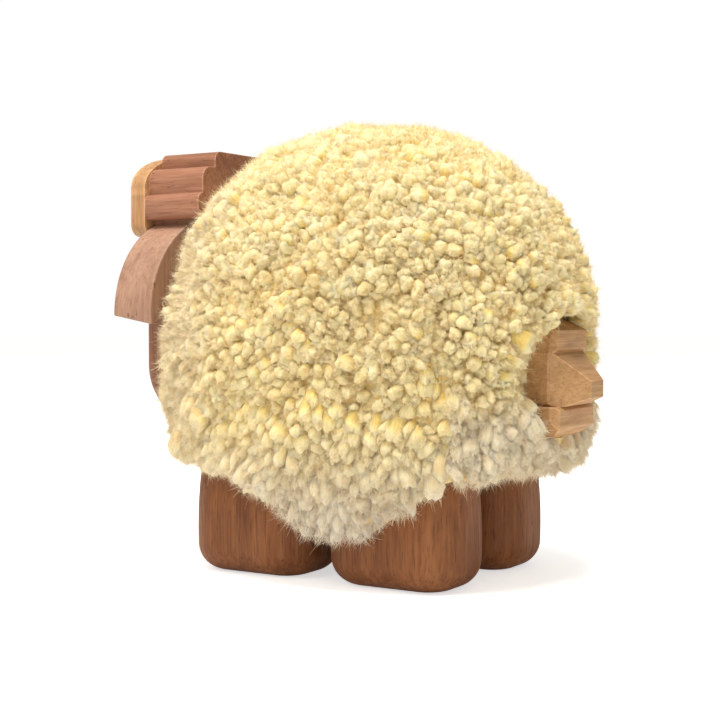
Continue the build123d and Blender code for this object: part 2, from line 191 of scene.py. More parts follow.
def make_light(name, azimuth, elevation, distance, size, power, colour):
    """A round soft light that points at the sheep; distance and size are in metres."""
    data = bpy.data.lights.new(name, "AREA")
    data.shape = "DISK"
    data.size = size
    data.energy = power
    data.color = colour
    lamp = bpy.data.objects.new(name, data)
    scene.collection.objects.link(lamp)
    way = look_from(azimuth, elevation)
    lamp.location = Vector((0.0, 0.0, light_aim_height)) + way * distance
    lamp.rotation_mode = "QUATERNION"
    lamp.rotation_quaternion = (-way).to_track_quat("-Z", "Y")


def make_world():
    """A surround that shows as pure white and lights the sheep softly and a little warm."""
    world = bpy.data.worlds.new("studio")
    world.use_nodes = True
    tree = world.node_tree
    surround = tree.nodes["Background"]
    surround.inputs["Color"].default_value = surround_colour
    surround.inputs["Strength"].default_value = surround_strength
    paper = tree.nodes.new("ShaderNodeBackground")
    paper.inputs["Color"].default_value = (1.0, 1.0, 1.0, 1.0)
    paper.inputs["Strength"].default_value = paper_strength
    ray = tree.nodes.new("ShaderNodeLightPath")
    mix = tree.nodes.new("ShaderNodeMixShader")
    tree.links.new(ray.outputs["Is Camera Ray"], mix.inputs["Fac"])
    tree.links.new(surround.outputs["Background"], mix.inputs[1])
    tree.links.new(paper.outputs["Background"], mix.inputs[2])
    tree.links.new(mix.outputs["Shader"], tree.nodes["World Output"].inputs["Surface"])
    scene.world = world


def make_floor():
    """A wide round sheet of plain paper."""
    mesh = bpy.data.meshes.new("floor")
    work = bmesh.new()
    bmesh.ops.create_circle(work, cap_ends=True, segments=96, radius=floor_radius)
    work.to_mesh(mesh)
    work.free()
    floor = bpy.data.objects.new("floor", mesh)
    scene.collection.objects.link(floor)
    floor.data.materials.append(plain_floor())


# Materials


class Graph:
    """A small helper that adds shader nodes and joins them."""

    def __init__(self, name):
        self.material = bpy.data.materials.new(name)
        self.material.use_nodes = True
        self.tree = self.material.node_tree
        self.tree.nodes.clear()
        self.output = self.add("ShaderNodeOutputMaterial")
        self.shader = self.add("ShaderNodeBsdfPrincipled")
        self.join(self.shader.outputs["BSDF"], self.output.inputs["Surface"])

    def add(self, kind, **settings):
        """A new node."""
        node = self.tree.nodes.new(kind)
        for key, value in settings.items():
            setattr(node, key, value)
        return node

    def join(self, source, target):
        self.tree.links.new(source, target)

    def set(self, **values):
        """Sets the surface shader's inputs."""
        for key, value in values.items():
            self.shader.inputs[key.replace("_", " ")].default_value = value

    def place(self, scale, offset=(0.0, 0.0, 0.0), rotation=(0.0, 0.0, 0.0)):
        """Object coordinates, scaled."""
        where = self.add("ShaderNodeTexCoord")
        mapping = self.add("ShaderNodeMapping")
        mapping.inputs["Scale"].default_value = scale
        mapping.inputs["Location"].default_value = offset
        mapping.inputs["Rotation"].default_value = rotation
        self.join(where.outputs["Object"], mapping.inputs["Vector"])
        return mapping.outputs["Vector"]

    def noise(self, vector, scale=1.0, detail=4.0, roughness=0.5, distortion=0.0):
        """Noise of about 0.3 to 0.7."""
        node = self.add("ShaderNodeTexNoise")
        node.inputs["Scale"].default_value = scale
        node.inputs["Detail"].default_value = detail
        node.inputs["Roughness"].default_value = roughness
        node.inputs["Distortion"].default_value = distortion
        self.join(vector, node.inputs["Vector"])
        return node.outputs["Fac"]

    def ramp(self, value, *stops):
        """Colours along a value, from (place, colour) stops."""
        node = self.add("ShaderNodeValToRGB")
        while len(node.color_ramp.elements) < len(stops):
            node.color_ramp.elements.new(0.5)
        for element, (place, colour) in zip(node.color_ramp.elements, stops):
            element.position = place
            element.color = (*colour, 1.0) if len(colour) == 3 else colour
        self.join(value, node.inputs["Fac"])
        return node.outputs["Color"]

    def grey(self, value, low, high, out_low=0.0, out_high=1.0):
        """Maps a value's range low..high to out_low..out_high, clamped."""
        node = self.add("ShaderNodeMapRange")
        for key, number in (("From Min", low), ("From Max", high), ("To Min", out_low), ("To Max", out_high)):
            node.inputs[key].default_value = number
        self.join(value, node.inputs["Value"])
        return node.outputs["Result"]

    def mix(self, share, a, b, blend="MIX"):
        """Two colours mixed; each input is a socket or a plain value."""
        node = self.add("ShaderNodeMix", data_type="RGBA", blend_type=blend)
        for key, value in (("Factor", share), ("A", a), ("B", b)):
            sockets = [s for s in node.inputs if s.name == key and s.type in ("RGBA", "VALUE")]
            socket = [s for s in sockets if s.type == ("VALUE" if key == "Factor" else "RGBA")][0]
            if isinstance(value, (int, float)):
                socket.default_value = value
            elif isinstance(value, (tuple, list)):
                socket.default_value = (*value, 1.0)
            else:
                self.join(value, socket)
        return [s for s in node.outputs if s.type == "RGBA"][0]

    def maths(self, operation, a, b=0.0):
        """Arithmetic on two sockets or numbers."""
        node = self.add("ShaderNodeMath", operation=operation)
        for socket, value in zip(node.inputs, (a, b)):
            if isinstance(value, (int, float)):
                socket.default_value = value
            else:
                self.join(value, socket)
        return node.outputs["Value"]

    def bump(self, height, strength, distance):
        """Bumps the surface; the distance is in metres."""
        node = self.add("ShaderNodeBump")
        node.inputs["Strength"].default_value = strength
        node.inputs["Distance"].default_value = distance
        self.join(height, node.inputs["Height"])
        self.join(node.outputs["Normal"], self.shader.inputs["Normal"])

    def colour(self, source):
        self.join(source, self.shader.inputs["Base Color"])

    def rough(self, source):
        self.join(source, self.shader.inputs["Roughness"])


def plain_floor():
    """White paper that glows a little where the camera sees it."""
    g = Graph("floor_paper")
    g.colour(g.ramp(g.noise(g.place((3.0, 3.0, 3.0))), (0.3, (0.90, 0.90, 0.90)), (0.7, (0.93, 0.93, 0.93))))
    g.set(Roughness=0.9, Specular_IOR_Level=0.1, Emission_Color=(1.0, 1.0, 1.0, 1.0))
    ray = g.add("ShaderNodeLightPath")
    g.join(g.grey(ray.outputs["Is Camera Ray"], 0.0, 1.0, 0.1, 0.6), g.shader.inputs["Emission Strength"])
    return g.material


def wood(name, colours, grain="z", roughness=0.5, coat=0.0, fleck_share=0.5, wear=0.5, ledges=()):
    """Carved wood: growth bands, fine streaks, short pores, soft blotches and lighter edges that are partly
    wear and partly painted highlight.

    The colours are light, mid, dark and fleck. A painted shade band is a height in millimetres and its tint,
    below 1 for painted shade and above 1 for painted highlight.
    """
    light, mid, dark, fleck = colours
    g = Graph(name)

    def along(across, lengthwise, offset=0.0):
        scale = [across] * 3
        scale["xyz".index(grain)] = lengthwise
        return g.place(tuple(scale), (offset, offset * 0.7, offset * 0.4))

    bands = g.noise(along(90.0, 7.0), 1.0, 3.0, 0.45, 0.6)
    streaks = g.noise(along(620.0, 38.0, 3.0), 1.0, 5.0, 0.6, 0.2)
    pores = g.noise(along(1150.0, 95.0, 7.0), 1.0, 3.0, 0.55, 0.3)
    blotch = g.noise(along(30.0, 18.0, 11.0), 1.0, 3.0, 0.55, 0.4)
    specks = g.noise(along(300.0, 180.0, 17.0), 1.0, 2.0, 0.5)
    base = g.ramp(bands, (0.32, dark), (0.5, mid), (0.7, light))
    fine = g.ramp(streaks, (0.34, dark), (0.52, mid), (0.68, light))
    body = g.mix(0.55, base, fine)
    body = g.mix(g.grey(pores, 0.55, 0.66, 0.0, fleck_share), body, fleck)
    body = g.mix(g.grey(specks, 0.70, 0.76, 0.0, 0.75), body, fleck)
    shade = g.ramp(blotch, (0.3, (0.80, 0.77, 0.74)), (0.7, (1.10, 1.08, 1.06)))
    body = g.mix(1.0, body, shade, "MULTIPLY")
    # Painted shade and painted highlight in bands by height
    if ledges:
        heights = g.add("ShaderNodeSeparateXYZ")
        g.join(g.place((1.0, 1.0, 1.0)), heights.inputs["Vector"])
        low, high = ledges[0][0], ledges[-1][0]
        rise = g.grey(heights.outputs["Z"], low * MM, high * MM)
        stops = [((z - low) / (high - low), (tint, tint, tint)) for z, tint in ledges]
        body = g.mix(1.0, body, g.ramp(rise, *stops), "MULTIPLY")
    # Lighter edges, partly wear and partly painted highlight: where the rounded normal leaves the flat one
    rounded = g.add("ShaderNodeBevel", samples=6)
    rounded.inputs["Radius"].default_value = 0.0011
    flat = g.add("ShaderNodeNewGeometry")
    alike = g.add("ShaderNodeVectorMath", operation="DOT_PRODUCT")
    g.join(rounded.outputs["Normal"], alike.inputs[0])
    g.join(flat.outputs["Normal"], alike.inputs[1])
    edge = g.grey(alike.outputs["Value"], 0.985, 0.88, 0.0, wear)
    edge = g.maths("MULTIPLY", edge, g.grey(streaks, 0.35, 0.6, 0.35, 1.0))
    g.colour(g.mix(edge, body, tuple(min(1.0, c * 1.45 + 0.05) for c in light)))
    g.rough(g.grey(streaks, 0.3, 0.7, roughness + 0.08, roughness - 0.08))
    height = g.maths("SUBTRACT", g.maths("MULTIPLY", streaks, 0.6), g.grey(pores, 0.55, 0.7))
    g.bump(height, 0.35, 0.00018)
    g.set(Coat_Weight=coat, Coat_Roughness=0.35, Specular_IOR_Level=0.28)
    return g.material


def wool_material(name, glow, relief):
    """Wool: golden and darker deep down as painted shade between the locks, cream tips, fibre streaks along
    each lock.
    """
    g = Graph(name)
    data = g.add("ShaderNodeAttribute", attribute_name="lock", attribute_type="GEOMETRY")
    parts = g.add("ShaderNodeSeparateColor")
    g.join(data.outputs["Color"], parts.inputs["Color"])
    depth, tone, hem = parts.outputs["Red"], parts.outputs["Green"], parts.outputs["Blue"]
    place = g.add("ShaderNodeAttribute", attribute_name="lock_place", attribute_type="GEOMETRY")
    stretch = g.add("ShaderNodeMapping")
    stretch.inputs["Scale"].default_value = (1.5, 1.5, 0.16)
    g.join(place.outputs["Vector"], stretch.inputs["Vector"])
    streaks = g.noise(stretch.outputs["Vector"], 1.0, 5.0, 0.65, 0.4)
    fuzz = g.noise(g.place((1400.0, 1400.0, 1400.0)), 1.0, 3.0, 0.6)
    patches = g.noise(g.place((45.0, 45.0, 45.0)), 1.0, 2.0, 0.5)
    # Painted shade: darker, more golden towards each lock's root, deep between the locks
    base = g.ramp(
        depth,
        (0.60, (0.87, 0.60, 0.17)),
        (0.78, (0.95, 0.76, 0.34)),
        (0.92, (0.99, 0.84, 0.51)),
    )
    tones = g.ramp(tone, (0.0, (0.95, 0.92, 0.84)), (0.5, (1.0, 1.0, 0.98)), (1.0, (1.03, 1.04, 1.10)))
    toned = g.mix(1.0, base, tones, "MULTIPLY")
    patch_tints = g.ramp(patches, (0.35, (0.95, 0.93, 0.88)), (0.65, (1.02, 1.02, 1.02)))
    toned = g.mix(1.0, toned, patch_tints, "MULTIPLY")
    # Hem tint, paler and greyer pink; on the rump's lower part it is painted shade
    hemmed = g.mix(hem, toned, (0.80, 0.71, 0.59))
    lines = g.ramp(streaks, (0.36, (0.88, 0.82, 0.68)), (0.58, (1.03, 1.03, 1.03)))
    g.colour(g.mix(0.8, hemmed, g.mix(1.0, hemmed, lines, "MULTIPLY")))
    g.bump(g.maths("ADD", streaks, g.maths("MULTIPLY", fuzz, 0.5)), relief, 0.001)
    g.set(Roughness=0.95, Specular_IOR_Level=0.1, Sheen_Weight=0.3, Sheen_Roughness=0.6)
    g.set(Subsurface_Weight=glow, Subsurface_Radius=(1.0, 0.7, 0.35), Subsurface_Scale=0.004)
    return g.material


def under_wool_material():
    """The golden, matted wool under the locks, darker than the locks as painted shade deep between them."""
    g = Graph("wool_deep_painted_shade")
    clumps = g.noise(g.place((420.0, 420.0, 420.0)), 1.0, 4.0, 0.6, 0.5)
    # Painted shade: a darker golden colour for the wool seen only deep between the locks
    g.colour(g.ramp(clumps, (0.3, (0.74, 0.52, 0.17)), (0.7, (0.88, 0.70, 0.33))))
    g.bump(clumps, 0.8, 0.0012)
    g.set(Roughness=0.95, Specular_IOR_Level=0.1, Sheen_Weight=0.2)
    return g.material


def hide_material():
    """Pale suede with a fine nap."""
    g = Graph("hide_suede")
    nap = g.noise(g.place((700.0, 700.0, 700.0)), 1.0, 5.0, 0.65)
    marks = g.noise(g.place((60.0, 60.0, 60.0)), 1.0, 3.0, 0.5, 0.6)
    base = g.ramp(marks, (0.3, (0.60, 0.50, 0.37)), (0.7, (0.76, 0.68, 0.53)))
    naps = g.ramp(nap, (0.3, (0.7, 0.66, 0.6)), (0.7, (1.05, 1.04, 1.0)))
    g.colour(g.mix(0.35, base, g.mix(1.0, base, naps, "MULTIPLY")))
    g.bump(nap, 0.4, 0.0003)
    g.set(Roughness=0.9, Sheen_Weight=0.15)
    return g.material


def metal_material():
    """Dull scratched brass."""
    g = Graph("tack_brass")
    scratches = g.noise(g.place((1500.0, 1500.0, 300.0)), 1.0, 4.0, 0.6)
    g.colour(g.ramp(scratches, (0.3, (0.42, 0.30, 0.12)), (0.7, (0.70, 0.53, 0.26))))
    g.rough(g.grey(scratches, 0.3, 0.7, 0.5, 0.3))
    g.bump(scratches, 0.2, 0.0001)
    g.set(Metallic=1.0)
    return g.material


def eye_material():
    """Dark polished wood."""
    g = Graph("eye_dark")
    grain = g.noise(g.place((900.0, 900.0, 80.0)), 1.0, 4.0, 0.5)
    g.colour(g.ramp(grain, (0.3, (0.010, 0.007, 0.006)), (0.7, (0.035, 0.022, 0.016))))
    g.rough(g.grey(grain, 0.3, 0.7, 0.22, 0.12))
    g.bump(grain, 0.08, 0.0001)
    g.set(Coat_Weight=0.6, Coat_Roughness=0.08)
    return g.material


# Mesh helpers


def place_piece(name, mesh, material, node):
    """Puts a smooth mesh in the scene as a piece that rides on the body and replaces a CAD node."""
    mesh.polygons.foreach_set("use_smooth", np.ones(len(mesh.polygons), bool))
    mesh.materials.append(material)
    piece = bpy.data.objects.new(name, mesh)
    scene.collection.objects.link(piece)
    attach(piece, "root")
    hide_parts(node)


def new_mesh(name, points, face_groups):
    """A mesh from points in millimetres and arrays of faces with equal corners."""
    mesh = bpy.data.meshes.new(name)
    mesh.vertices.add(len(points))
    mesh.vertices.foreach_set("co", (points * MM).astype(np.float32).ravel())
    corners = np.concatenate([faces.ravel() for faces in face_groups]).astype(np.int32)
    mesh.loops.add(len(corners))
    mesh.loops.foreach_set("vertex_index", corners)
    sizes = np.concatenate([np.full(len(faces), faces.shape[1]) for faces in face_groups])
    mesh.polygons.add(len(sizes))
    mesh.polygons.foreach_set("loop_start", np.concatenate([[0], np.cumsum(sizes)[:-1]]).astype(np.int32))
    mesh.update(calc_edges=True)
    return mesh


def node_points(name):
    """A CAD node's points in millimetres."""
    mesh = nodes[name].data
    points = np.empty(len(mesh.vertices) * 3, np.float32)
    mesh.vertices.foreach_get("co", points)
    return points.reshape(-1, 3).astype(float) / MM


def moved_node(name, node, points, material):
    """A piece with a CAD node's faces and other points."""
    mesh = bpy.data.meshes.new(name)
    mesh.from_pydata(points * MM, [], [list(face.vertices) for face in nodes[node].data.polygons])
    mesh.validate()
    place_piece(name, mesh, material, node)


def unit(vectors):
    """Vectors of length one."""
    return vectors / np.maximum(np.linalg.norm(vectors, axis=-1, keepdims=True), 1e-9)


def swell(points, wavelength, seed):
    """Smooth seeded noise of about -1..1 at each point."""
    local = np.random.default_rng(seed)
    total = np.zeros(len(points))
    for _ in range(9):
        way = local.normal(size=3)
        way *= 2 * math.pi / (wavelength * local.uniform(0.7, 1.5)) / np.linalg.norm(way)
        total += np.sin(points @ way + local.uniform(0, 2 * math.pi))
    return total / 3.0


# Wool


def wool_norm(points):
    """1 on the wool's outer form, less inside."""
    across = np.abs(points[:, 0] - centre_x) / half_x
    rise = points[:, 2] - middle_z
    above = rise >= 0
    power = np.where(above, top_power, low_power)
    height = np.where(above, top_height, low_height)
    section = ((np.abs(points[:, 1]) / half_y) ** power + (np.abs(rise) / height) ** power) ** (1 / power)
    return (across**length_power + section**length_power) ** (1 / length_power)


def wool_normal(points):
    """Outward direction of the wool's form."""
    step = 0.5
    normal = np.empty_like(points)
    for axis in range(3):
        shift = np.zeros(3)
        shift[axis] = step
        normal[:, axis] = wool_norm(points + shift) - wool_norm(points - shift)
    return unit(normal)


def spread(points, spacing):
    """Keeps the points that are at least a spacing apart."""
    tree = KDTree(len(points))
    for i, point in enumerate(points):
        tree.insert(point, i)
    tree.balance()
    alive = np.ones(len(points), bool)
    kept = []
    for i, point in enumerate(points):
        if alive[i]:
            kept.append(i)
            for _, j, _ in tree.find_range(point, spacing):
                alive[j] = False
    return np.array(kept)


def push_out(points, margin):
    """Moves points out of the keep-out blocks through the nearest side; returns how far each went."""
    moved = points.copy()
    for low, high in keep_out.values():
        low, high = low - margin, high + margin
        inside = np.all((moved > low) & (moved < high), axis=1)
        if not inside.any():
            continue
        gaps = np.concatenate([moved[inside] - low, high - moved[inside]], axis=1)
        side = np.argmin(gaps, axis=1)
        rows = np.where(inside)[0]
        axis = side % 3
        moved[rows, axis] = np.where(side < 3, low[axis], high[axis])
    return moved, np.linalg.norm(moved - points, axis=1)


def is_blocked(points, margin):
    """Which points are in a keep-out block or within the margin of one."""
    blocked = np.zeros(len(points), bool)
    for low, high in keep_out.values():
        blocked |= np.all((points > low - margin) & (points < high + margin), axis=1)
    return blocked


def fade(values, start, end):
    """0 at the start, 1 at the end, held outside them."""
    return np.clip((values - start) / (end - start), 0.0, 1.0)


def hem_height(x):
    """Height of the wool's hem at a place along the sheep."""
    return np.interp(x, hem_xs, hem_zs)


def form_places(count):
    """Random places on the wool's outer form, and its normals there."""
    points = unit(rng.normal(size=(count, 3))) * (half_x, half_y, form_spread_z)
    middle = np.array((centre_x, 0.0, middle_z))
    tips = middle + points / wool_norm(points + middle)[:, None]
    normals = wool_normal(tips)
    # The parting at the tail, fuller above than below
    rise = tips[:, 2] - tail_z
    reach = np.hypot(tips[:, 1], 2 * rise)
    fullness = np.interp(rise, parting_rises, parting_fullness)
    parting_x = tail_root_x + np.maximum(reach - parting_half_width, parting_least) / parting_slope + fullness
    caught = (tips[:, 0] > parting_x) & (tips[:, 0] > tail_root_x)
    tips[caught, 0] = parting_x[caught]
    inward = np.stack([
        np.full(caught.sum(), parting_lean[0]),
        -parting_lean[1] * tips[caught, 1] / reach[caught],
        -parting_lean[1] * rise[caught] / reach[caught],
    ], axis=1)
    normals[caught] = unit(inward)
    # The flat backs behind the ears and the hair
    for name in ("left_ear", "right_ear", "hair_cap"):
        low, high = keep_out[name]
        caught = np.all((tips > low - back_margin) & (tips < high + back_margin), axis=1)
        tips[caught, 0] = high[0] + back_gap
    on_wool = tips[:, 2] > hem_height(tips[:, 0]) + form_above_hem
    return tips[on_wool], normals[on_wool]


def hem_places(count):
    """Random places on the hem, the cut edge of the wool under the flanks, the chest and the rump."""
    points = rng.uniform((-1.0, -1.0, 0.0), (1.0, 1.0, 0.0), (count, 3)) * (half_x, half_y, 1.0)
    points[:, 0] += centre_x
    points[:, 2] = hem_height(points[:, 0]) + hem_above
    low, high = keep_out["legs"]
    beyond_ends = (points[:, 0] < low[0] - 1.0) | (points[:, 0] > high[0] + 1.0)
    beside_legs = (np.abs(points[:, 1]) > high[1] + 1.0) | beyond_ends
    points = points[(wool_norm(points) < hem_edge_norm) & beside_legs]
    outward = wool_normal(points)
    return points, unit(outward * (hem_lean, hem_lean, 0.0) - (0.0, 0.0, 1.0))


def lock_places():
    """Tips and normals of the locks, and which of them are short fillers in the gaps between the others."""
    tips, normals = (np.concatenate(pair) for pair in zip(form_places(form_tries), hem_places(hem_tries)))
    tips, went = push_out(tips, push_margin)
    fine = (went < push_most) & ~is_blocked(tips, 1.0)
    tips, normals = tips[fine], normals[fine]
    kept = spread(tips, lock_spacing)
    tree = KDTree(len(kept))
    for i in kept:
        tree.insert(tips[i], i)
    tree.balance()
    gap = np.array([tree.find(point)[2] for point in tips])
    loose = np.where(gap > lock_spacing * filler_share)[0]
    fillers = loose[spread(tips[loose], lock_spacing * filler_share)]
    chosen = np.concatenate([kept, fillers])
    return tips[chosen], normals[chosen], np.arange(len(chosen)) >= len(kept)


def comb(tips, normals):
    """Directions of the locks: along the normal, hanging down on the lower part, a little tousled."""
    aims = normals.copy()
    aims[:, 2] -= hang_lean * fade(tips[:, 2], *hanging_zs)
    tousle = np.stack([swell(tips, tousle_wavelength, seed) for seed in (11, 12, 13)], axis=1)
    aims += tousle_lean * tousle + rng.normal(0.0, stray_lean, tips.shape)
    return unit(aims)


# Rings of a lock from its root to its blunt tip: share of the length and of the radius
ring_shares = np.array([0.0, 0.30, 0.54, 0.70, 0.81, 0.89, 0.95, 0.985])
ring_sizes = np.array([0.72, 0.90, 1.0, 1.03, 1.0, 0.90, 0.70, 0.40])
sides_count = 12
quads_per_lock = sides_count * (len(ring_shares) - 1)


def lock_mesh(tips, aims, radii, lengths):
    """Points, quads and triangles of many closed locks at once."""
    count, rings = len(tips), len(ring_shares)
    first = unit(np.cross(aims, unit(rng.normal(size=(count, 3)))))
    second = np.cross(aims, first)
    turn = (2 * math.pi * np.arange(sides_count) / sides_count)[None, None, :]
    share = ring_shares[None, :, None]

    def each(low, high):
        return rng.uniform(low, high, count)[:, None, None]

    # Lobed, twisted, tapering and rough sides
    lobes = rng.integers(2, 5, count)[:, None, None]
    phase, twist = each(0, 2 * math.pi), each(-2.6, 2.6)
    wave = np.cos(lobes * turn + twist * share + phase)
    taper = each(0.0, 0.35)
    size = ring_sizes[None, :, None] * (1 - taper * np.clip(share - 0.5, 0, 1))
    rough = rng.normal(0.0, 0.06, (count, rings, sides_count))
    radius = radii[:, None, None] * size * (1 + (0.05 + 0.09 * share**2) * wave + rough)
    # A bent axis
    bend_way = rng.uniform(0, 2 * math.pi, count)[:, None]
    bend_size = (rng.uniform(0.02, 0.15, count) * lengths)[:, None]
    bend = (np.cos(bend_way) * first + np.sin(bend_way) * second) * bend_size
    axis = tips[:, None, :] - aims[:, None, :] * (lengths[:, None, None] * (1 - ring_shares)[None, :, None])
    axis = axis + bend[:, None, :] * (4 * ring_shares * (1 - ring_shares))[None, :, None]
    points = axis[:, :, None, :] + (radius * np.cos(turn))[..., None] * first[:, None, None, :]
    points = points + (radius * each(0.72, 1.0) * np.sin(turn))[..., None] * second[:, None, None, :]
    # Slanted, uneven ends
    slant = radii[:, None, None] * share**4 * (0.22 * wave + each(-0.3, 0.3) * np.cos(turn))
    points = (points + slant[..., None] * aims[:, None, None, :]).reshape(count, rings * sides_count, 3)
    ends = (tips + aims * (radii * rng.uniform(-0.1, 0.12, count))[:, None])[:, None, :]
    points = np.concatenate([points, ends, axis[:, :1]], axis=1)
    last = rings * sides_count
    top = last - sides_count
    around = [(j, (j + 1) % sides_count) for j in range(sides_count)]
    quads = np.array([
        (k + a, k + b, k + sides_count + b, k + sides_count + a)
        for k in range(0, top, sides_count)
        for a, b in around
    ])
    caps = np.array([(top + a, top + b, last) for a, b in around] + [(b, a, last + 1) for a, b in around])
    starts = (np.arange(count) * (last + 2))[:, None, None]
    return points.reshape(-1, 3), (quads[None] + starts).reshape(-1, 4), (caps[None] + starts).reshape(-1, 3)


def face_normals(points, quads):
    """Normals of the quads."""
    corner = points[quads]
    return unit(np.cross(corner[:, 2] - corner[:, 0], corner[:, 3] - corner[:, 1]))


class Locks:
    """Tips, directions and sizes of the locks in one group, with frames of their own."""

    def __init__(self, tips, aims, radii, lengths, tones, hems):
        self.tips, self.aims, self.radii, self.lengths = tips, aims, radii, lengths
        self.tones, self.hems = tones, hems
        self.first = unit(np.cross(aims, unit(rng.normal(size=aims.shape))))
        self.second = np.cross(aims, self.first)
        self.shift = rng.uniform(-50.0, 50.0, aims.shape)

    def describe(self, points, owner):
        """Colours (share along the lock, tone, hem) and places along the lock for points near it."""
        offset = points - self.tips[owner]
        frame_ways = (self.first, self.second, self.aims)
        place = np.stack([np.sum(offset * way[owner], axis=1) for way in frame_ways], axis=1)
        colours = np.ones((len(points), 4))
        colours[:, 0] = np.clip(1 + place[:, 2] / self.lengths[owner], 0, 1)
        colours[:, 1], colours[:, 2] = self.tones[owner], self.hems[owner]
        return colours, place + self.shift[owner]


def wool_piece(name, points, quads, triangles, colours, places, material, node):
    """One wool object with its lock colours and places."""
    mesh = new_mesh(name, points, (quads, triangles))
    attribute = mesh.color_attributes.new("lock", "FLOAT_COLOR", "POINT")
    attribute.data.foreach_set("color", colours.astype(np.float32).ravel())
    attribute = mesh.attributes.new("lock_place", "FLOAT_VECTOR", "POINT")
    attribute.data.foreach_set("vector", places.astype(np.float32).ravel())
    place_piece(name, mesh, material, node)


# A fibre: pairs of points at the first shares of its length and one at its end
fibre_shares = np.array([0.0, 0.35, 0.7, 1.0])
fibre_pairs = len(fibre_shares) - 1
fibre_points = 2 * fibre_pairs + 1
fibre_sink = 0.1


def fibre_mesh(starts, ways, flats, lengths, widths, curls):
    """Points, quads and triangles of thin curved fibres, each a tapering strip that lies on its flat side."""
    count = len(starts)
    side = unit(np.cross(flats, ways))
    share = fibre_shares[None, :, None]
    axis = starts[:, None, :] + ways[:, None, :] * lengths[:, None, None] * share
    axis = axis + (side * curls[:, :1] + flats * curls[:, 1:])[:, None, :] * lengths[:, None, None] * share**2
    half = (side * widths[:, None] / 2)[:, None, :] * (1 - 0.5 * share)
    edges = (axis[:, :fibre_pairs] - half[:, :fibre_pairs], axis[:, :fibre_pairs] + half[:, :fibre_pairs])
    strip = np.stack(edges, axis=2).reshape(count, 2 * fibre_pairs, 3)
    points = np.concatenate([strip, axis[:, fibre_pairs:]], axis=1)
    quads = np.array([(2 * k, 2 * k + 1, 2 * k + 3, 2 * k + 2) for k in range(fibre_pairs - 1)])
    triangles = np.array([(fibre_points - 3, fibre_points - 2, fibre_points - 1)])
    starts_at = (np.arange(count) * fibre_points)[:, None, None]
    return points, quads[None] + starts_at, triangles[None] + starts_at


def lying_fibres(normals, slide, aims, hems):
    """Directions, lengths, widths and curls of fibres that lie along their lock."""
    count = len(normals)
    on_end = np.sum(aims * normals, axis=1) > 0.75
    rise = rng.uniform(-0.05, 0.16, count)[:, None]
    ways = unit(slide + normals * rise + rng.normal(0.0, 0.2, (count, 3)))
    ways[on_end] = unit(slide[on_end] + 0.35 * normals[on_end] + rng.normal(0.0, 0.6, (on_end.sum(), 3)))
    lengths = rng.uniform(*lying_length, count) * np.where(on_end, 0.4, 1.0) * (1 + lying_hem_extra * hems)
    widths = rng.uniform(*lying_width, count)
    return ways, lengths, widths, rng.normal(0.0, 0.3, (count, 2))


def frizzy_fibres(normals, slide, aims, hems):
    """The same of fine curly fibres that run any way and lift off a little."""
    count = len(normals)
    ways = unit(np.cross(normals, rng.normal(size=(count, 3))))
    ways = unit(ways + 0.5 * slide + normals * rng.uniform(0.05, 0.5, count)[:, None])
    lengths = rng.uniform(*frizz_length, count) * (1 + frizz_hem_extra * hems)
    widths = rng.uniform(*frizz_width, count)
    return ways, lengths, widths, rng.normal(0.0, 0.6, (count, 2))


# Kinds of fibre on each group of locks, and how much nearer the tip than their place they are coloured
fibre_kinds = {"fibres": (lying_fibres, 0.05), "frizz": (frizzy_fibres, 0.10), "fuzz": (frizzy_fibres, 0.10)}


def add_fibres(name, kind, locks, points, quads, open_quads, material, node):
    """One object of fine fibres that start on the open quads of the locks."""
    make_fibres, brighter = fibre_kinds[kind]
    count = fibres_per_piece
    chosen = rng.choice(open_quads, count)
    starts = points[quads[chosen]].mean(axis=1)
    normals = face_normals(points, quads)[chosen]
    owner = chosen // quads_per_lock
    aims = locks.aims[owner]
    slide = aims - np.sum(aims * normals, axis=1)[:, None] * normals
    ways, lengths, widths, curls = make_fibres(normals, slide, aims, locks.hems[owner])
    flats = unit(normals + rng.normal(0.0, 0.25, (count, 3)))
    starts = starts - normals * fibre_sink
    strip_points, strips, ends = fibre_mesh(starts, ways, flats, lengths, widths, curls)
    strip_points = strip_points.reshape(-1, 3)
    keep = ~is_blocked(strip_points, 0.05).reshape(count, fibre_points).any(axis=1)
    colours, places = locks.describe(strip_points, np.repeat(owner, fibre_points))
    colours[:, 0] = np.clip(colours[:, 0] + brighter, 0, 1)
    colours[:, 1] = np.clip(colours[:, 1] + np.repeat(rng.normal(0.08, 0.2, count), fibre_points), 0, 1)
    strips, ends = strips[keep].reshape(-1, 4), ends[keep].reshape(-1, 3)
    wool_piece(f"{name}_{kind}", strip_points, strips, ends, colours, places, material, node)


def under_fleece(panel, material):
    """The dense wool below the locks: the panel's solid with its outer side drawn in."""
    node = f"{panel}_fleece"
    points = node_points(node)
    outer = wool_norm(points) > under_wool_norm
    outward = wool_normal(points[outer])
    depth = under_wool_depth + under_wool_unevenness * swell(points[outer], 14.0, 5)
    points[outer] -= outward * depth[:, None]
    points[:, 2] = np.maximum(points[:, 2], hem_height(points[:, 0]) + under_wool_above_hem)
    moved_node(f"{panel}_under_wool", node, points, material)


